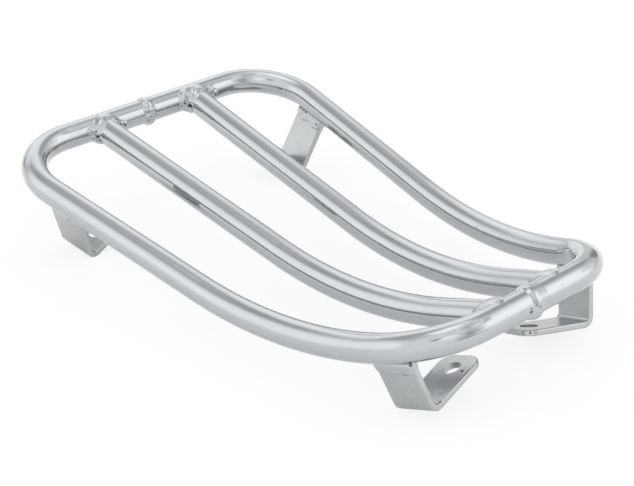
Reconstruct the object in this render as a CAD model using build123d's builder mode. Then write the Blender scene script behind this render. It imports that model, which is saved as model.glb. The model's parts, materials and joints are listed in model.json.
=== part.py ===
from build123d import *
from math import acos, atan2, cos, degrees, pi, radians, sin, tan
import os

# Motorcycle luggage rack: a welded and chromed frame of bent steel tube on four bent flat-bar feet.
# Frame of reference: +Y is the wide front end by the seat, -Y the narrow tail, +X the right side.
# The origin lies on the middle plane, halfway between the two cross tubes, at the level of the feet.

# Tube stock, the same for the outer loop and the two inner bars
tube_od = 16.0
tube_wall = 1.5

# Outer loop, on tube centre lines
front_width = 216.0
rail_taper = 6.6
corner_radius = 40.0
crease_radius = 240.0
deck_straight = 121.0
tail_straight = 2.0
deck_angle = 10.0
tail_angle = 20.0
deck_height = 55.0

# Inner bars, spacing between their centre lines at each end
bar_front_spacing = 73.0
bar_rear_spacing = 43.0

# Feet, bent from flat bar
foot_width = 25.0
foot_thickness = 3.5
foot_bend_radius = 3.0
foot_edge_radius = 0.9
flange_tip_radius = 8.0
hole_diameter = 10.0
hole_margin = 12.0

# Where each pair of feet stands along the rail, how its legs lean and how its flanges run
front_foot_setback = 52.5
front_foot_lean = 21.0
front_flange_rise = 28.0
front_flange_length = 27.0
rear_foot_setback = 29.0
rear_foot_lean = 13.0
rear_flange_rise = 11.0
rear_flange_length = 46.0

# Welds
root_gap = 0.3
bar_bead = 1.6
rail_bead = 2.6
bar_bead_start = 3.0
seam_bead_width = 4.5
seam_bead_height = 1.1
foot_bead = 1.6
foot_bead_band = 1.4
foot_bead_toe = 2.8
foot_bead_lap = 0.6

# Values that follow from the sizes above
tube_radius = tube_od / 2
bore_radius = tube_radius - tube_wall
foot_bend_middle = foot_bend_radius + foot_thickness / 2
taper = radians(rail_taper)
deck_slope = radians(deck_angle)
tail_slope = radians(tail_angle)

# The rail turns by a quarter turn more or less the taper at its corners, and by crease_turn at the crease
rear_tangent = corner_radius * tan((pi / 2 - taper) / 2)
front_tangent = corner_radius * tan((pi / 2 + taper) / 2)
crease_turn = acos(sin(taper) ** 2 + cos(taper) ** 2 * cos(deck_slope + tail_slope))
crease_tangent = crease_radius * tan(crease_turn / 2)

# Runs of deck and tail from the crease to the cross tubes, and the half widths that the taper gives
deck_run = (crease_tangent + deck_straight + front_tangent) * cos(taper)
tail_run = (rear_tangent + tail_straight + crease_tangent) * cos(taper)
front_half = front_width / 2
crease_half = front_half - deck_run * tan(taper)
rear_half = crease_half - tail_run * tan(taper)
crease_height = deck_height - deck_run * sin(deck_slope)
crease_y = (tail_run * cos(tail_slope) - deck_run * cos(deck_slope)) / 2


def deck_point(x, run):
    """Point on the deck plane, a distance forward of the crease."""
    return Vector(x, crease_y + run * cos(deck_slope), crease_height + run * sin(deck_slope))


def tail_point(x, run):
    """Point on the tail plane, a distance behind the crease."""
    return Vector(x, crease_y - run * cos(tail_slope), crease_height + run * sin(tail_slope))


def swept_tube(points, bends, radius, bore=0.0):
    """Round tube along straight runs joined by tangent bends, solid unless it has a bore."""
    with BuildPart() as tube:
        with BuildLine() as route:
            FilletPolyline(*points, radius=bends)
        with BuildSketch(Plane(origin=route.line @ 0, z_dir=route.line % 0)):
            Circle(radius)
            if bore > 0:
                Circle(bore, mode=Mode.SUBTRACT)
        sweep(path=route.line)
    return tube.part


# Left half of the outer loop, from the rear seam round to the front seam
rail_points = [
    tail_point(0, tail_run),
    tail_point(-rear_half, tail_run),
    tail_point(-crease_half, 0),
    deck_point(-front_half, deck_run),
    deck_point(0, deck_run),
]
rail_bends = [corner_radius, crease_radius, corner_radius]

# Left inner bar, from the rear cross tube's axis to the front cross tube's axis
bar_front = bar_front_spacing / 2
bar_rear = bar_rear_spacing / 2
bar_crease = bar_rear + (bar_front - bar_rear) * tail_run / (tail_run + deck_run)
bar_points = [
    tail_point(-bar_rear, tail_run),
    tail_point(-bar_crease, 0),
    deck_point(-bar_front, deck_run),
]

rail_envelope = swept_tube(rail_points, rail_bends, tube_radius)
bar_envelope = swept_tube(bar_points, [crease_radius], tube_radius)


def save_pair(piece, name):
    """Write a left-hand piece and its mirror image."""
    with BuildPart() as left:
        add(piece)
    left.part.label = f"{name}_left"
    export_step(left.part, f"parts/{name}_left.step")
    with BuildPart() as right:
        mirror(piece, about=Plane.YZ)
    right.part.label = f"{name}_right"
    export_step(right.part, f"parts/{name}_right.step")


os.makedirs("parts", exist_ok=True)

# Outer loop
save_pair(swept_tube(rail_points, rail_bends, tube_radius, bore_radius), "rail")

# Inner bars, their ends coped to the cross tubes
with BuildPart() as bar:
    add(swept_tube(bar_points, [crease_radius], tube_radius, bore_radius))
    add(swept_tube(rail_points, rail_bends, tube_radius + root_gap), mode=Mode.SUBTRACT)
save_pair(bar.part, "bar")


# Seam beads, where the two halves of the loop are butt welded
def seam_bead(centre):
    """Ring bead round the tube at the middle of a cross tube."""
    half = seam_bead_width / 2
    with BuildPart() as bead:
        with BuildSketch(Plane(origin=centre, x_dir=(0, 0, 1), z_dir=(0, -1, 0))):
            with BuildLine():
                ThreePointArc(
                    (tube_radius, -half), (tube_radius + seam_bead_height, 0), (tube_radius, half)
                )
                Line((tube_radius, half), (tube_radius, -half))
            make_face()
        revolve(axis=Axis(centre, (1, 0, 0)))
    return bead.part


for name, centre in (("front", deck_point(0, deck_run)), ("rear", tail_point(0, tail_run))):
    with BuildPart() as seam:
        add(seam_bead(centre))
    seam.part.label = f"weld_{name}_seam"
    export_step(seam.part, f"parts/weld_{name}_seam.step")


# Bar beads, one round each coped end
def coped_bead(joint, inner):
    """Bead in the corner between a bar's end and the cross tube that it meets at the joint."""
    along = (inner - joint).normalized()
    with BuildPart() as bead:
        with BuildSketch(Plane(origin=joint + along * bar_bead_start, z_dir=along)):
            Circle(tube_radius + bar_bead)
        extrude(amount=tube_od)
        add(swept_tube(rail_points, rail_bends, tube_radius + rail_bead), mode=Mode.INTERSECT)
        add(rail_envelope, mode=Mode.SUBTRACT)
        add(bar_envelope, mode=Mode.SUBTRACT)
    return bead.part


save_pair(coped_bead(bar_points[2], bar_points[1]), "weld_bar_front")
save_pair(coped_bead(bar_points[0], bar_points[1]), "weld_bar_rear")


# Feet
def foot_and_bead(corner, setback, lean, rise, flange_length):
    """Foot under a rail that stands on the ground, and the bead that holds it."""
    forward = (rail_points[2] - corner).normalized()
    centre = corner + forward * (setback / cos(taper))
    side = forward if forward.Y > 0 else forward * -1
    lift = (Vector(0, 0, 1) - side * side.Z).normalized()
    inward = side.cross(lift)
    section = Plane(origin=centre, x_dir=inward, z_dir=inward.cross(lift))

    # Leg and flange directions in the section, and the leg length that brings the bend to the ground
    leg = Vector(sin(radians(lean)), -cos(radians(lean)))
    flange = Vector(cos(radians(rise)), sin(radians(rise)))
    half_bend = acos(-leg.dot(flange)) / 2
    inset = foot_bend_middle / sin(half_bend)
    bisector = (flange - leg).normalized()
    edge_offset = foot_width / 2 - foot_edge_radius
    edge_bend = foot_bend_radius + foot_thickness - foot_edge_radius
    bend_height = edge_offset * abs(side.Z) + edge_bend * lift.Z + foot_edge_radius
    leg_length = (centre.Z - bend_height + inset * bisector.Y * lift.Z) / (-leg.Y * lift.Z)
    apex = leg * leg_length
    tip = apex + flange * flange_length
    hole = apex + flange * (flange_length - hole_margin)

    with BuildPart() as foot:
        with BuildSketch(section):
            with BuildLine():
                FilletPolyline((0, 0), (apex.X, apex.Y), (tip.X, tip.Y), radius=foot_bend_middle)
            trace(line_width=foot_thickness)
        extrude(amount=foot_width / 2, both=True)
        run = inward * flange.X + lift * flange.Y
        end = foot.faces().sort_by(Axis(centre, run))[-1]
        fillet(end.edges().sort_by(SortBy.LENGTH)[:2], radius=flange_tip_radius)
        flanks = foot.faces().filter_by(Axis(centre, side)).edges()
        fillet(flanks.filter_by(lambda edge: edge.length > foot_thickness * 1.01), radius=foot_edge_radius)
        with Locations(Plane(origin=section.from_local_coords(hole), x_dir=run, z_dir=run.cross(side))):
            Hole(radius=hole_diameter / 2)
        add(rail_envelope, mode=Mode.SUBTRACT)

    # The bead covers both faces at the top of the leg, laps its edges, and thins out to a toe below the rail
    down = inward * leg.X + lift * leg.Y
    bead_width = foot_width + 2 * foot_bead_lap
    bead_thickness = foot_thickness + 2 * foot_bead
    bead_corner = foot_edge_radius + foot_bead
    toe_slope = degrees(atan2(0.9 * foot_bead, foot_bead_toe))
    band_start = Plane(origin=centre + down * tube_radius / 2, x_dir=side, z_dir=down)
    toe_start = Plane(origin=centre + down * (tube_radius + foot_bead_band), x_dir=side, z_dir=down)
    with BuildPart() as bead:
        with BuildSketch(band_start):
            RectangleRounded(bead_width, bead_thickness, bead_corner)
        extrude(amount=tube_radius / 2 + foot_bead_band)
        with BuildSketch(toe_start):
            RectangleRounded(bead_width, bead_thickness, bead_corner)
        extrude(amount=foot_bead_toe, taper=toe_slope)
        add(rail_envelope, mode=Mode.SUBTRACT)
        add(foot.part, mode=Mode.SUBTRACT)
    return foot.part, bead.part


front_foot, front_bead = foot_and_bead(
    rail_points[3], front_foot_setback, front_foot_lean, front_flange_rise, front_flange_length
)
rear_foot, rear_bead = foot_and_bead(
    rail_points[1], rear_foot_setback, rear_foot_lean, rear_flange_rise, rear_flange_length
)
save_pair(front_foot, "foot_front")
save_pair(rear_foot, "foot_rear")
save_pair(front_bead, "weld_foot_front")
save_pair(rear_bead, "weld_foot_rear")
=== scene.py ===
import json
import math

import bmesh
import bpy
from mathutils import Matrix, Vector


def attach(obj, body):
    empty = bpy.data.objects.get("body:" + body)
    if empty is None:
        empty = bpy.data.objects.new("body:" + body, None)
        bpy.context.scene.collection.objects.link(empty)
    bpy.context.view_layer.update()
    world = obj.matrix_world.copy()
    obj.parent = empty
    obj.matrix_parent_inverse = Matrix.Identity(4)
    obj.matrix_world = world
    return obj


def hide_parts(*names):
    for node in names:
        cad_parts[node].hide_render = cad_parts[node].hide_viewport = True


# Motorcycle luggage rack: chromed tube and flat bar, welded, standing on a white floor in a soft white studio.
# Places and sizes on the rack are written in millimetres and turned into metres by MM where they are used.
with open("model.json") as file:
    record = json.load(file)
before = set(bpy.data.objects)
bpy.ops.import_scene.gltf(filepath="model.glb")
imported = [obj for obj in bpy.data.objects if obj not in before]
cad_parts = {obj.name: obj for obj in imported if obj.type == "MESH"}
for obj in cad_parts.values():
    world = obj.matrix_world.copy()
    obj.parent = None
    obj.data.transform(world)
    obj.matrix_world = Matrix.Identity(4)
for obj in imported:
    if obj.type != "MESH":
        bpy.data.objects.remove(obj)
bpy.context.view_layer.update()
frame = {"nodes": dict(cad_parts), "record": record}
nodes = frame["nodes"]
MM = 0.001
ACROSS = Vector((1.0, 0.0, 0.0))
UP = Vector((0.0, 0.0, 1.0))


# Shader nodes
class Signal:
    """A shader socket that takes part in arithmetic: each operator adds a Math node."""

    def __init__(self, tree, socket):
        self.tree = tree
        self.socket = socket

    def combine(self, operation, first, second):
        return add_node(self.tree, "ShaderNodeMath", {"operation": operation}, {0: first, 1: second})

    def __add__(self, other):
        return self.combine("ADD", self, other)

    def __radd__(self, other):
        return self.combine("ADD", other, self)

    def __sub__(self, other):
        return self.combine("SUBTRACT", self, other)

    def __rsub__(self, other):
        return self.combine("SUBTRACT", other, self)

    def __mul__(self, other):
        return self.combine("MULTIPLY", self, other)


def add_node(tree, kind, settings=None, sockets=None, output=0):
    """Add a shader node: its settings come first, then its sockets' values or links; returns one output."""
    node = tree.nodes.new(kind)
    for name, value in (settings or {}).items():
        setattr(node, name, value)
    for name, value in (sockets or {}).items():
        if isinstance(value, Signal):
            tree.links.new(value.socket, node.inputs[name])
        else:
            node.inputs[name].default_value = value
    return Signal(tree, node.outputs[output])


def noise(tree, place, scale, detail, roughness=0.5):
    """Noise with its scale in features per metre."""
    sockets = {"Vector": place, "Scale": scale, "Detail": detail, "Roughness": roughness}
    return add_node(tree, "ShaderNodeTexNoise", {}, sockets, "Fac")


def measure(tree, operation, *vectors):
    """The number that a vector operation gives."""
    return add_node(tree, "ShaderNodeVectorMath", {"operation": operation}, dict(enumerate(vectors)), "Value")


def soft_step(tree, value, start, end, before=0.0, after=1.0):
    """Smooth step from one level before the start to another after the end."""
    sockets = {"Value": value, "From Min": start, "From Max": end, "To Min": before, "To Max": after}
    return add_node(tree, "ShaderNodeMapRange", {"interpolation_type": "SMOOTHSTEP"}, sockets)


def grey_ramp(tree, value, *stops):
    """Ramp between two stops, each a place and a shade of grey."""
    node = tree.nodes.new("ShaderNodeValToRGB")
    for element, (place, shade) in zip(node.color_ramp.elements, stops):
        element.position = place
        element.color = (shade, shade, shade, 1.0)
    tree.links.new(value.socket, node.inputs["Fac"])
    return Signal(tree, node.outputs["Color"])


def mix(tree, share, first, second):
    """Mix of two colours, which the node gives at its third output."""
    sockets = {"Factor": share, "A": first, "B": second}
    return add_node(tree, "ShaderNodeMix", {"data_type": "RGBA"}, sockets, 2)


def new_material(name):
    """An empty node material, its tree and the shader that its output shows."""
    material = bpy.data.materials.new(name)
    material.use_nodes = True
    tree = material.node_tree
    tree.nodes.clear()
    shader = tree.nodes.new("ShaderNodeBsdfPrincipled")
    output = tree.nodes.new("ShaderNodeOutputMaterial")
    tree.links.new(shader.outputs["BSDF"], output.inputs["Surface"])
    return material, tree, shader


# Chrome finishes
PATCH_SHARE, HAZE_SHARE = 0.6, 0.4
WEAR_START, WEAR_END = 0.38, 0.66
GRIT_SHARE = 0.012
PIT_AND_SHADE_COLOUR = (0.10, 0.10, 0.105, 1.0)
PIT_ROUGHNESS = 0.25
PIT_HEART, PIT_RIM = 0.10, 0.24
PIT_FIELD_EDGE = 0.06
SPOT_HEART, SPOT_RIM = 0.4, 0.95


def chrome(name, plate, worn, smooth, dull, ripple, pit_share, pit_depth, spots):
    """Chrome plate: faint tint and haze in patches, a slow ripple in the metal under it, fine pits, and dark spots at
    set places, some stains and some painted shade.
    """
    material, tree, shader = new_material(name)
    place = add_node(tree, "ShaderNodeTexCoord", output="Object")
    patches = noise(tree, place, scale=55.0, detail=4.0)
    haze = noise(tree, place, scale=210.0, detail=5.0, roughness=0.62)
    swell = noise(tree, place, scale=85.0, detail=1.0)
    grit = noise(tree, place, scale=1400.0, detail=2.0)
    field = noise(tree, place, scale=130.0, detail=3.0)
    sockets = {"Vector": place, "Scale": 420.0, "Randomness": 1.0}
    cells = add_node(tree, "ShaderNodeTexVoronoi", {}, sockets, "Distance")

    # Fine pits lie in the hearts of the cells where the field is high; the dark spots have set places: stains, and
    # painted shade in the blow holes and along the toe of a weld
    field_start = 1.0 - pit_share
    pitted = grey_ramp(tree, field, (field_start, 0.0), (field_start + PIT_FIELD_EDGE, 1.0))
    pits_and_shade = grey_ramp(tree, cells, (PIT_HEART, 1.0), (PIT_RIM, 0.0)) * pitted
    for spot, radius in spots:
        off = measure(tree, "DISTANCE", place, [value * MM for value in spot])
        pits_and_shade = pits_and_shade + soft_step(tree, off, SPOT_HEART * radius * MM, SPOT_RIM * radius * MM, before=1.0, after=0.0)
    pits_and_shade = add_node(tree, "ShaderNodeClamp", {}, {"Value": pits_and_shade})

    clouds = patches * PATCH_SHARE + haze * HAZE_SHARE
    wear = grey_ramp(tree, clouds, (WEAR_START, 0.0), (WEAR_END, 1.0))
    # The dark colour paints the fine pits and stains, and also the shade in holes and creases
    colour = mix(tree, pits_and_shade, mix(tree, wear, (*plate, 1.0), (*worn, 1.0)), PIT_AND_SHADE_COLOUR)
    roughness = smooth + wear * (dull - smooth) + pits_and_shade * PIT_ROUGHNESS
    relief = swell * ripple + grit * (ripple * GRIT_SHARE) - pits_and_shade * pit_depth
    bump = add_node(tree, "ShaderNodeBump", {}, {"Height": relief, "Strength": 1.0, "Distance": 1.0}, "Normal")
    for socket, signal in (("Base Color", colour), ("Roughness", roughness), ("Normal", bump)):
        tree.links.new(signal.socket, shader.inputs[socket])
    shader.inputs["Metallic"].default_value = 1.0
    return material


# Blow holes in the welds, pressed in as dents and painted dark as the shade inside them: place, radius and depth
blow_holes = {
    "weld_bar_front_left": [
        ((-45.4, 149.0, 53.6), 1.5, 1.3), ((-44.8, 148.0, 51.0), 1.5, 1.3), ((-47.4, 151.4, 51.2), 1.2, 1.0),
        ((-46.0, 149.6, 57.0), 1.0, 0.8), ((-23.0, 151.2, 54.4), 1.5, 1.1),
    ],
    "weld_bar_front_right": [
        ((27.4, 148.8, 53.4), 1.9, 1.8), ((25.4, 151.2, 55.0), 1.0, 0.8), ((50.2, 151.2, 54.8), 1.4, 1.1),
    ],
    "weld_front_seam": [((-4.2, 151.8, 52.2), 1.1, 0.9), ((1.9, 152.4, 59.6), 1.0, 0.8)],
    "weld_rear_seam": [
        ((-3.4, -168.2, 52.4), 1.2, 1.0), ((-1.4, -168.6, 51.0), 1.0, 0.9), ((-7.2, -168.0, 52.0), 1.0, 0.9),
        ((-7.6, -168.2, 50.0), 1.2, 1.0),
    ],
    "weld_foot_front_left": [((-97.7, 107.2, 30.4), 1.5, 1.2)],
    # On the front right foot the first five holes run in a row along the crease under the rail: dents with a painted
    # shadow line in that gap
    "weld_foot_front_right": [
        ((97.2, 119.8, 41.4), 1.0, 0.9), ((97.0, 118.0, 41.2), 1.0, 0.9), ((96.8, 116.3, 40.9), 1.1, 1.0),
        ((96.6, 114.6, 40.6), 1.1, 1.0), ((96.5, 113.0, 40.3), 1.0, 0.8), ((94.8, 101.0, 35.6), 1.0, 0.9),
    ],
    "weld_foot_rear_left": [((-71.8, -146.7, 36.9), 1.3, 1.2)],
}

# The finishes paint each hole's shade dark at its place and radius, since its edge runs out over the metal beside the
# bead
hole_shade_spots = [hole[:2] for holes in blow_holes.values() for hole in holes]

# Stains on the flat bar: place and radius
stains = [
    ((-31.9, -145.4, 15.0), 1.5), ((-56.9, -153.5, 11.5), 1.1), ((-62.6, -162.0, 4.4), 1.3),
    ((20.7, -146.3, 16.4), 0.9),
]

# Painted shade along the toe of the weld on the rear left leg, in the crease where the bead meets the leg: dots of
# uneven size, from corner to corner
TOE_SHADE_STEP = 0.9
TOE_SHADE_RADIUS = 0.36
TOE_SHADE_SPREAD = 0.12
TOE_SHADE_TURN = 5.0
toe_corners = [
    (-72.6, -127.7, 23.9), (-72.5, -129.8, 25.5), (-71.9, -133.9, 26.6), (-71.2, -137.8, 27.1), (-70.5, -141.8, 27.8),
    (-70.3, -145.2, 29.7), (-70.4, -146.5, 31.6),
]
painted_toe_shade = []
for first, second in zip(toe_corners, toe_corners[1:]):
    start, end = Vector(first), Vector(second)
    steps = max(2, round((end - start).length / TOE_SHADE_STEP))
    for step in range(steps):
        radius = TOE_SHADE_RADIUS + TOE_SHADE_SPREAD * math.sin(TOE_SHADE_TURN * step + first[1])
        painted_toe_shade.append((start.lerp(end, step / steps), radius))

# The flat bar and weld finishes paint the shade along that toe as dark spots
finishes = {
    "chrome_tube": chrome(
        "chrome_tube", plate=(0.497, 0.515, 0.529), worn=(0.477, 0.496, 0.511), smooth=0.020, dull=0.050,
        ripple=0.05 * MM, pit_share=0.30, pit_depth=0.05 * MM, spots=hole_shade_spots,
    ),
    "chrome_flat_bar": chrome(
        "chrome_flat_bar", plate=(0.490, 0.504, 0.511), worn=(0.460, 0.472, 0.479), smooth=0.20, dull=0.30,
        ripple=0.05 * MM, pit_share=0.22, pit_depth=0.03 * MM, spots=hole_shade_spots + stains + painted_toe_shade,
    ),
    "chrome_weld": chrome(
        "chrome_weld", plate=(0.505, 0.522, 0.534), worn=(0.470, 0.486, 0.497), smooth=0.025, dull=0.06,
        ripple=0.03 * MM, pit_share=0.08, pit_depth=0.03 * MM, spots=hole_shade_spots + painted_toe_shade,
    ),
}
for part in frame["record"]["subparts"]:
    plated = nodes[part["node"]]
    plated.data.materials.clear()
    plated.data.materials.append(finishes[part["material_slot"]])


# Welds: each bead of the frame is dressed with the lumps and pits that the torch left, and smoothed by the plating.
# A bead on the tubes grows out of cores inside them, and rods cut it back to just under their skin. A bead on a leg
# is cut back by copies of the foot and the rail.
TUBE_RADIUS = 8.0
CORE_RADIUS = 7.96
CUT_RADIUS = 7.98
WELD_GRAIN = 0.3
RIPPLE_SIZE = 3.2
RIPPLE_HEIGHT = 0.05
SAME_POINT = 0.001
SLIVER = 0.02
SCRAP_FACES = 1500
SMALL_HOLE_SIDES = 8
SHARP_ANGLE = 50.0
PROBE_DISTANCE = 30.0
SMOOTHING = 0.5

# Rounds of smoothing for each kind of layer
CORNER_CALM = 90
SEAM_CALM = 40
SEAM_LUMP_CALM = 16
LUMP_CALM = 12
LEG_CALM = 9
RIPPLE_CALM = 2

# Half lengths of the cores and cutters
CROSS_CORE, BAR_CORE, SEAM_CORE = 17.0, 11.0, 12.0
CROSS_CUT, BAR_CUT, SEAM_CUT = 24.0, 14.0, 20.0

# Steps in degrees round a tube, and half lengths and breadths of the lumps that the corners and rows are made of
CORNER_STEP, RING_STEP = 5, 8
CORNER_LUMP = 3.0, 2.8
ROW_LUMP = 3.0, 2.4
CORNER_START = 0.4
FLANK_RISE = 3.3
ROW_BEND = 0.3
SEAM_MIDDLE = -1.0

bpy.context.view_layer.update()
ripples = bpy.data.textures.new("weld_ripples", "CLOUDS")
ripples.noise_scale = RIPPLE_SIZE * MM
ripples.noise_depth = 1
bpy.ops.object.select_all(action="DESELECT")
patterns = {}
bpy.ops.mesh.primitive_ico_sphere_add(subdivisions=3, radius=1.0)
patterns["lump"] = bpy.context.object
bpy.ops.mesh.primitive_cylinder_add(vertices=64, radius=1.0, depth=2.0)
patterns["rod"] = bpy.context.object


def block(pattern, spot, along, outward, length, breadth, height):
    """Pattern and place of one block: its spot, its long and outward directions, and its half sizes."""
    axes = Matrix((along, outward.cross(along), outward)).transposed().to_4x4()
    return pattern, Matrix.Translation(spot) @ axes @ Matrix.Diagonal((length * MM, breadth * MM, height * MM, 1.0))


def rod(middle, along, radius, half_length):
    """Pattern and place of a round rod."""
    along = Vector(along).normalized()
    sideways = along.cross(UP).normalized()
    return block("rod", Vector(middle) * MM, sideways, along, radius, radius, half_length)


def on_tube(start, along, marks):
    """Lumps on a tube: angle from its top to its right, distance from its start, length, breadth, height."""
    start, along = Vector(start) * MM, Vector(along).normalized()
    up = (UP - along * along.z).normalized()
    right = along.cross(up)
    lumps = []
    for angle, distance, *size in marks:
        a = math.radians(angle)
        outward = up * math.cos(a) + right * math.sin(a)
        spot = start + along * (distance * MM) + outward * (TUBE_RADIUS * MM)
        lumps.append(block("lump", spot, along, outward, *size))
    return lumps


def on_leg(foot, centre, side, down, marks):
    """Lumps on a leg: +1 for its outer or -1 for its inner face, place along, depth, length, breadth, height."""
    centre, side, down = Vector(centre) * MM, Vector(side).normalized(), Vector(down).normalized()
    outer = side.cross(down)
    outer *= 1.0 if outer.x * centre.x > 0.0 else -1.0
    lumps = []
    for face_sign, place, depth, *size in marks:
        start = centre + side * (place * MM) + down * (depth * MM) + outer * (face_sign * PROBE_DISTANCE * MM)
        spot = nodes[foot].ray_cast(start, outer * -face_sign)[1]
        lumps.append(block("lump", spot, side, outer * face_sign, *size))
    return lumps


def linked_copy(source, place):
    """Copy of an object with its own mesh, moved by a matrix and linked to the scene."""
    copy = source.copy()
    copy.data = source.data.copy()
    copy.data.transform(place)
    bpy.context.scene.collection.objects.link(copy)
    return copy


def rod_cutter(middle, along, half_length):
    """Rod that takes a tube's own metal out of a bead."""
    pattern, place = rod(middle, along, CUT_RADIUS, half_length)
    return linked_copy(patterns[pattern], place)


def node_cutter(node):
    """Merged copy of a foot or rail, which takes its metal out of a bead."""
    cutter = linked_copy(nodes[node], Matrix.Identity(4))
    bpy.ops.object.select_all(action="DESELECT")
    bpy.context.view_layer.objects.active = cutter
    cutter.select_set(True)
    bpy.ops.object.mode_set(mode="EDIT")
    bpy.ops.mesh.select_all(action="SELECT")
    bpy.ops.mesh.remove_doubles(threshold=SAME_POINT * MM)
    bpy.ops.object.mode_set(mode="OBJECT")
    cutter.select_set(False)
    return cutter


def apply_modifier(piece, kind, **settings):
    """Add a modifier with its settings and apply it."""
    modifier = piece.modifiers.new(kind.lower(), kind)
    for name, value in settings.items():
        setattr(modifier, name, value)
    bpy.ops.object.modifier_apply(modifier=modifier.name)


def press_holes(piece, holes):
    """Push the surface in at each blow hole."""
    bpy.ops.object.mode_set(mode="EDIT")
    shape = bmesh.from_edit_mesh(piece.data)
    for place, radius, depth in holes:
        bpy.ops.mesh.select_all(action="DESELECT")
        spot = Vector(place) * MM
        nearest = min(shape.verts, key=lambda vertex: (vertex.co - spot).length_squared)
        nearest.select_set(True)
        shape.select_flush_mode()
        bpy.ops.transform.translate(
            value=nearest.normal * (-depth * MM), use_proportional_edit=True,
            proportional_edit_falloff="SMOOTH", proportional_size=radius * MM,
        )
    bpy.ops.object.mode_set(mode="OBJECT")


def clear_scraps(piece):
    """Merge the slivers that cutting leaves, delete what came loose from the bead, and close small holes."""
    bpy.ops.object.mode_set(mode="EDIT")
    bpy.ops.mesh.select_all(action="SELECT")
    bpy.ops.mesh.remove_doubles(threshold=SLIVER * MM)
    bpy.ops.mesh.dissolve_degenerate(threshold=SLIVER * MM)
    bpy.ops.mesh.quads_convert_to_tris()
    bpy.ops.mesh.select_all(action="DESELECT")
    shape = bmesh.from_edit_mesh(piece.data)
    waiting = set(shape.faces)
    while waiting:
        island = [waiting.pop()]
        for face in island:
            for edge in face.edges:
                if len(edge.link_faces) != 2:
                    continue
                for other in edge.link_faces:
                    if other in waiting:
                        waiting.remove(other)
                        island.append(other)
        if len(island) < SCRAP_FACES:
            for face in island:
                face.select_set(True)
    bpy.ops.mesh.delete(type="FACE")
    bpy.ops.mesh.select_all(action="SELECT")
    bpy.ops.mesh.delete_loose()
    bpy.ops.mesh.select_all(action="SELECT")
    bpy.ops.mesh.fill_holes(sides=SMALL_HOLE_SIDES)
    bpy.ops.mesh.quads_convert_to_tris()
    bpy.ops.mesh.normals_make_consistent(inside=False)
    bpy.ops.object.mode_set(mode="OBJECT")


def weld(node, cutters, *layers):
    """Build a bead up in layers of lumps, each smoothed, cut it back, and put it in place of the frame's plain bead."""
    bpy.ops.object.select_all(action="DESELECT")
    for lumps, calm in layers:
        for pattern, place in lumps:
            blob = linked_copy(patterns[pattern], place)
            blob.select_set(True)
            bpy.context.view_layer.objects.active = blob
        bpy.ops.object.join()
        piece = bpy.context.object
        apply_modifier(piece, "REMESH", mode="VOXEL", voxel_size=WELD_GRAIN * MM)
        apply_modifier(piece, "SMOOTH", factor=SMOOTHING, iterations=calm)
    apply_modifier(piece, "DISPLACE", texture=ripples, strength=RIPPLE_HEIGHT * MM, mid_level=0.5)
    apply_modifier(piece, "SMOOTH", factor=SMOOTHING, iterations=RIPPLE_CALM)
    piece.name = f"bead_{node}"
    press_holes(piece, blow_holes.get(node, []))
    for cutter in cutters:
        apply_modifier(piece, "BOOLEAN", operation="DIFFERENCE", object=cutter, solver="MANIFOLD")
        bpy.data.objects.remove(cutter, do_unlink=True)
    clear_scraps(piece)
    bpy.ops.object.shade_smooth_by_angle(angle=math.radians(SHARP_ANGLE))
    piece.data.materials.clear()
    piece.data.materials.append(finishes["chrome_weld"])
    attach(piece, "root")
    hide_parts(node)


def fairing(joint, along, rise, reach, tops):
    """Cores of a bar's end and of the cross tube, with metal in the corner between them and rows over the bar's top.

    The metal in the corner stands up by rise over the bar and by FLANK_RISE at its sides. Each row has its distance
    from the corner and its height, and runs down both sides of the bar by the angle reach.
    """
    marks = []
    for angle in range(-180, 180, CORNER_STEP):
        lean = abs(math.sin(math.radians(angle)))
        height = rise + (FLANK_RISE - rise) * lean ** 2
        marks.append((angle, TUBE_RADIUS * lean + CORNER_START, *CORNER_LUMP, height))
    for ahead, height in tops:
        for angle in range(-reach, reach + 1, RING_STEP):
            lean = abs(math.sin(math.radians(angle)))
            marks.append((angle, TUBE_RADIUS * lean + ahead * (1.0 - ROW_BEND * lean), *ROW_LUMP, height))
    inner = Vector(joint) + Vector(along) * BAR_CORE
    cores = [rod(joint, ACROSS, CORE_RADIUS, CROSS_CORE), rod(inner, along, CORE_RADIUS, BAR_CORE)]
    return cores + on_tube(joint, along, marks)


def joint_cutters(joint, along):
    """Rods of a bar's end and of the cross tube that it meets."""
    inner = Vector(joint) + Vector(along) * BAR_CUT
    return [rod_cutter(joint, ACROSS, CROSS_CUT), rod_cutter(inner, along, BAR_CUT)]


def weld_seam(node, centre, ring, calm, lumps, lump_calm):
    """Bead where the halves of the loop meet: a ring round the cross tube, and lumps on it."""
    stem = rod((SEAM_MIDDLE, *centre[1:]), ACROSS, CORE_RADIUS, SEAM_CORE)
    weld(
        node, [rod_cutter(centre, ACROSS, SEAM_CUT)],
        ([stem] + on_tube(centre, ACROSS, ring), calm), (on_tube(centre, ACROSS, lumps), lump_calm),
    )


# Joints of the bars with the cross tubes, each with the way that its bar sets off, and the middles of the cross tubes
front_left = (-36.5, 159.75, 55.0), (0.0455, -0.9838, -0.1735)
front_right = (36.5, 159.75, 55.0), (-0.0455, -0.9838, -0.1735)
rear_left = (-21.5, -159.75, 49.85), (-0.0455, 0.9387, -0.3417)
rear_right = (21.5, -159.75, 49.85), (0.0455, 0.9387, -0.3417)
front_tube = (0.0, 159.75, 55.0)
rear_tube = (0.0, -159.75, 49.85)

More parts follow.
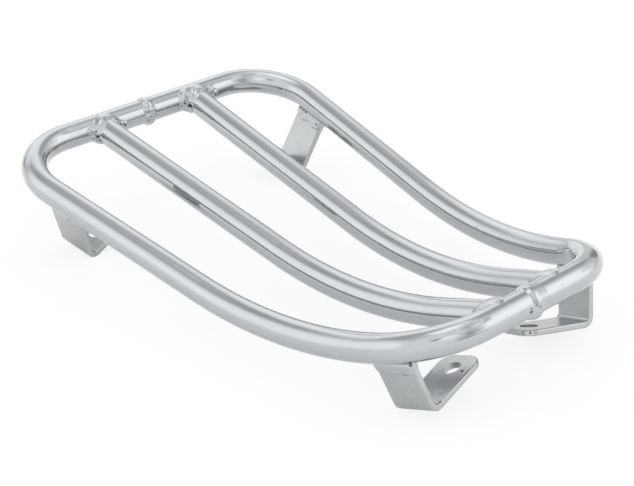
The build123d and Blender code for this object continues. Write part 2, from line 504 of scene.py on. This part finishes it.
# Beads at the ends of the bars
bar_lumps = on_tube(*front_left, [
    (-40, 8.6, 2.4, 3.0, 1.4), (48, 8.8, 2.6, 3.0, 1.5), (110, 10.2, 2.8, 3.2, 1.7),
])
tube_lumps = on_tube(front_tube, ACROSS, [
    (74, -47.4, 3.6, 2.4, 1.7), (104, -46.8, 2.6, 2.6, 1.7), (84, -25.8, 2.6, 2.4, 1.7), (92, -22.8, 2.8, 2.2, 1.3),
])
weld(
    "weld_bar_front_left", joint_cutters(*front_left),
    (fairing(*front_left, rise=1.0, reach=60, tops=[(2.4, 1.1)]), CORNER_CALM), (bar_lumps + tube_lumps, LUMP_CALM),
)
shoulder = on_tube(front_tube, ACROSS, [(60, 28.0, 5.6, 4.4, 2.8), (42, 31.0, 4.6, 3.8, 2.0)])
bar_lumps = on_tube(*front_right, [
    (-62, 9.8, 2.6, 2.6, 1.7), (66, 10.8, 2.2, 2.4, 1.6), (112, 10.2, 2.8, 3.2, 1.8),
])
tube_lumps = on_tube(front_tube, ACROSS, [
    (78, 23.6, 2.6, 2.2, 1.7), (118, 27.2, 3.2, 3.0, 2.0), (62, 47.6, 2.8, 2.6, 1.6), (84, 50.4, 2.6, 2.4, 1.6),
])
weld(
    "weld_bar_front_right", joint_cutters(*front_right),
    (fairing(*front_right, rise=1.1, reach=64, tops=[(2.8, 1.3), (5.6, 1.2)]) + shoulder, CORNER_CALM),
    (bar_lumps + tube_lumps, LUMP_CALM),
)
for side, joint in (("left", rear_left), ("right", rear_right)):
    corner = fairing(*joint, rise=1.0, reach=56, tops=[(2.2, 1.0)])
    weld(f"weld_bar_rear_{side}", joint_cutters(*joint), (corner, CORNER_CALM))

# Beads at the seams
front_ring = [(angle, -1.2, 3.2, 2.4, 0.95) for angle in range(0, 360, RING_STEP)]
front_lumps = [
    (-4, -3.2, 2.0, 1.9, 0.8), (34, -1.8, 3.0, 3.2, 1.8), (68, -0.8, 2.6, 2.6, 2.5), (62, -5.0, 1.8, 2.2, 1.4),
    (98, -3.8, 2.2, 2.4, 1.5), (126, -1.6, 3.4, 3.6, 2.3), (158, -0.6, 3.0, 3.4, 1.9), (190, -0.6, 2.8, 3.2, 1.5),
]
weld_seam("weld_front_seam", front_tube, front_ring, SEAM_CALM, front_lumps, SEAM_LUMP_CALM)
rear_ring = [(angle, x, 3.4, 2.4, 0.95 - 0.18 * x) for angle in range(0, 360, RING_STEP) for x in (-0.6, 1.4, 3.4)]
rear_edge = [(angle, -1.6, 2.0, 2.4, 1.0) for angle in range(-24, 105, RING_STEP)]
rear_lumps = rear_edge + [
    (98, -4.8, 3.4, 3.4, 1.05), (116, -4.6, 4.0, 3.0, 1.3), (130, -1.6, 4.2, 3.6, 1.5), (150, 0.6, 4.0, 4.0, 2.0),
    (172, 0.8, 3.8, 3.6, 1.8), (194, 0.6, 3.2, 3.2, 1.2),
]
weld_seam("weld_rear_seam", rear_tube, rear_ring, CORNER_CALM, rear_lumps, LUMP_CALM)

# Beads at the legs: a row under the rail, a row over the leg, and a toe that wanders up and down
LEG_STEPS = 15
LEG_STEP = 1.5
LEG_HALF = 10.5
SLOW_WAVE, QUICK_WAVE = 0.55, 0.2
leg_rows = []
for face_sign in (1, -1):
    for step in range(LEG_STEPS):
        place = LEG_STEP * step - LEG_HALF
        wave = SLOW_WAVE * math.sin(0.5 * place + face_sign) + QUICK_WAVE * math.sin(1.7 * place)
        leg_rows += [
            (face_sign, place * 1.06, 8.5, 1.5, 1.9, 1.9),
            (face_sign, place, 10.2, 1.8, 2.2, 1.7),
            (face_sign, place * 0.98, 12.0 + wave, 1.7, 1.9 + 0.4 * wave, 1.4),
        ]

# Left legs: the middle of the rail over the leg, the way along the rail and the way down the leg
legs = {
    "front": ((-101.93, 108.04, 45.88), (-0.1149, 0.9783, 0.1725), (0.3371, 0.2018, -0.9196)),
    "rear": ((-73.28, -132.5, 39.93), (-0.1149, 0.9335, -0.3398), (0.2637, -0.3011, -0.9164)),
}
for side, sign in (("left", 1.0), ("right", -1.0)):
    for end, leg in legs.items():
        foot = f"foot_{end}_{side}"
        cutters = [node_cutter(foot), node_cutter(f"rail_{side}")]
        centre, along, down = ((x * sign, y, z) for x, y, z in leg)
        weld(f"weld_foot_{end}_{side}", cutters, (on_leg(foot, centre, along, down, leg_rows), LEG_CALM))
for pattern in patterns.values():
    bpy.data.objects.remove(pattern, do_unlink=True)

# Floor: white paper, with part of its white always there to be seen, so that the shadow stays faint.
# Mirrored in the chrome, the paper far from the rack glows a little more: painted light for the open floor beyond the
# rack's shadow. Distances are in metres.
FLOOR_SIZE = 12.0
PAPER_WHITE = 0.955
FIBRE_WHITE = 0.02
SEEN_SHARE = 0.82
MIRRORED_SHARE = 0.04
FAR_PAINTED_LIGHT = 0.06
FAR_START = 0.16
FAR_END = 0.42
bpy.ops.object.select_all(action="DESELECT")
bpy.ops.mesh.primitive_plane_add(size=FLOOR_SIZE, location=(0.0, 0.0, 0.0))
floor = bpy.context.object
floor.name = "floor"
paper, tree, shader = new_material("white_paper")
place = add_node(tree, "ShaderNodeTexCoord", output="Object")
fibres = noise(tree, place, scale=900.0, detail=3.0)
seen = add_node(tree, "ShaderNodeLightPath", output="Is Camera Ray")
mirrored = add_node(tree, "ShaderNodeLightPath", output="Is Glossy Ray")
mirrored = mirrored + add_node(tree, "ShaderNodeLightPath", output="Is Transmission Ray")
share = seen * SEEN_SHARE + mirrored * MIRRORED_SHARE
whiteness = (PAPER_WHITE + fibres * FIBRE_WHITE) * (1.0 - share)
far = soft_step(tree, measure(tree, "LENGTH", place), FAR_START, FAR_END)
# Painted light: in reflections the floor glows more the farther it lies from the rack
share = share + mirrored * far * FAR_PAINTED_LIGHT
for socket, grey in (("Base Color", whiteness), ("Emission Color", share)):
    colour = add_node(tree, "ShaderNodeCombineColor", {}, {0: grey, 1: grey, 2: grey})
    tree.links.new(colour.socket, shader.inputs[socket])
shader.inputs["Emission Strength"].default_value = 1.0
shader.inputs["Roughness"].default_value = 0.9
shader.inputs["Specular IOR Level"].default_value = 0.0
floor.data.materials.append(paper)


# Studio: a pale room with soft lamps and a few darker gaps between them, as directions round the object
def heading(azimuth, elevation):
    """Unit vector at an azimuth counted from +X towards +Y, and an elevation, in degrees."""
    a, e = math.radians(azimuth), math.radians(elevation)
    return math.cos(e) * math.cos(a), math.cos(e) * math.sin(a), math.sin(e)


ROOM_LEVEL = 0.88
soft_lights = [
    # azimuth, elevation, full within, gone beyond, strength
    (-40.0, 32.0, 1.0, 44.0, 0.81),
    (58.0, 33.0, 1.0, 28.0, 0.60),
    (142.0, 22.0, 1.0, 37.0, 0.58),
    (-144.0, 24.0, 28.0, 64.0, 0.32),
    (27.0, 83.0, 19.0, 36.0, 0.19),
    (66.0, -3.0, 16.0, 19.0, 0.40),
    (71.0, 81.0, 1.0, 17.0, 0.77),
    (-45.0, 65.0, 13.0, 18.0, 0.45),
    (-117.0, 41.0, 8.0, 15.0, 0.29),
    (37.0, 67.0, 1.0, 12.0, 0.50),
    (88.0, 26.0, 1.0, 13.0, 0.30),
    (-58.0, 49.0, 1.0, 11.0, 0.37),
    (8.0, 25.0, 3.0, 11.0, 0.21),
    (-84.0, 61.0, 3.0, 11.0, 0.20),
    (9.0, 39.0, 17.0, 23.0, -0.25),
    (-92.0, 11.0, 9.0, 15.0, -0.24),
    (82.0, 62.0, 1.0, 35.0, -0.28),
    (93.0, 0.0, 6.0, 9.0, -0.37),
    (20.0, 8.0, 5.0, 14.0, -0.47),
    (-46.0, 58.0, 7.0, 24.0, -0.90),
    (-74.0, 32.0, 1.0, 20.0, -0.54),
    (-137.0, 46.0, 1.0, 10.0, -0.55),
    (-19.0, 25.0, 6.0, 12.0, -0.33),
    (62.0, 16.0, 1.0, 9.0, -0.37),
]
world = bpy.data.worlds.new("studio")
bpy.context.scene.world = world
world.use_nodes = True
tree = world.node_tree
tree.nodes.clear()
outward = add_node(tree, "ShaderNodeTexCoord", output="Generated")
level = ROOM_LEVEL
for azimuth, elevation, full, gone, strength in soft_lights:
    facing = measure(tree, "DOT_PRODUCT", outward, heading(azimuth, elevation))
    glow = soft_step(tree, facing, math.cos(math.radians(gone)), math.cos(math.radians(full)))
    level = glow * strength + level

# The camera itself sees plain white behind the floor
seen = add_node(tree, "ShaderNodeLightPath", output="Is Camera Ray")
level = level * (1.0 - seen) + seen
background = tree.nodes.new("ShaderNodeBackground")
tree.links.new(level.socket, background.inputs["Color"])
surroundings = tree.nodes.new("ShaderNodeOutputWorld")
tree.links.new(background.outputs["Background"], surroundings.inputs["Surface"])

# Camera, at the photograph's viewing angle, with its lens found in pixels of the photograph
CAMERA_TURN = -42.83
CAMERA_RISE = 28.07
CAMERA_PLACE = (-535.08, -578.93, 441.31)
LENS_PIXELS = 1528.8
PHOTO_WIDTH = 634.0
SENSOR_WIDTH = 36.0
turn, rise = math.radians(CAMERA_TURN), math.radians(CAMERA_RISE)
right = Vector((math.cos(turn), math.sin(turn), 0.0))
back = Vector((math.sin(turn) * math.cos(rise), -math.cos(turn) * math.cos(rise), math.sin(rise)))
camera_data = bpy.data.cameras.new("camera")
camera_data.sensor_width = SENSOR_WIDTH
camera_data.lens = LENS_PIXELS * SENSOR_WIDTH / PHOTO_WIDTH
camera = bpy.data.objects.new("camera", camera_data)
bpy.context.scene.collection.objects.link(camera)
axes = Matrix((right, back.cross(right), back)).transposed().to_4x4()
camera.matrix_world = Matrix.Translation(Vector(CAMERA_PLACE) * MM) @ axes
bpy.context.scene.camera = camera
bpy.context.scene.view_settings.view_transform = "Standard"
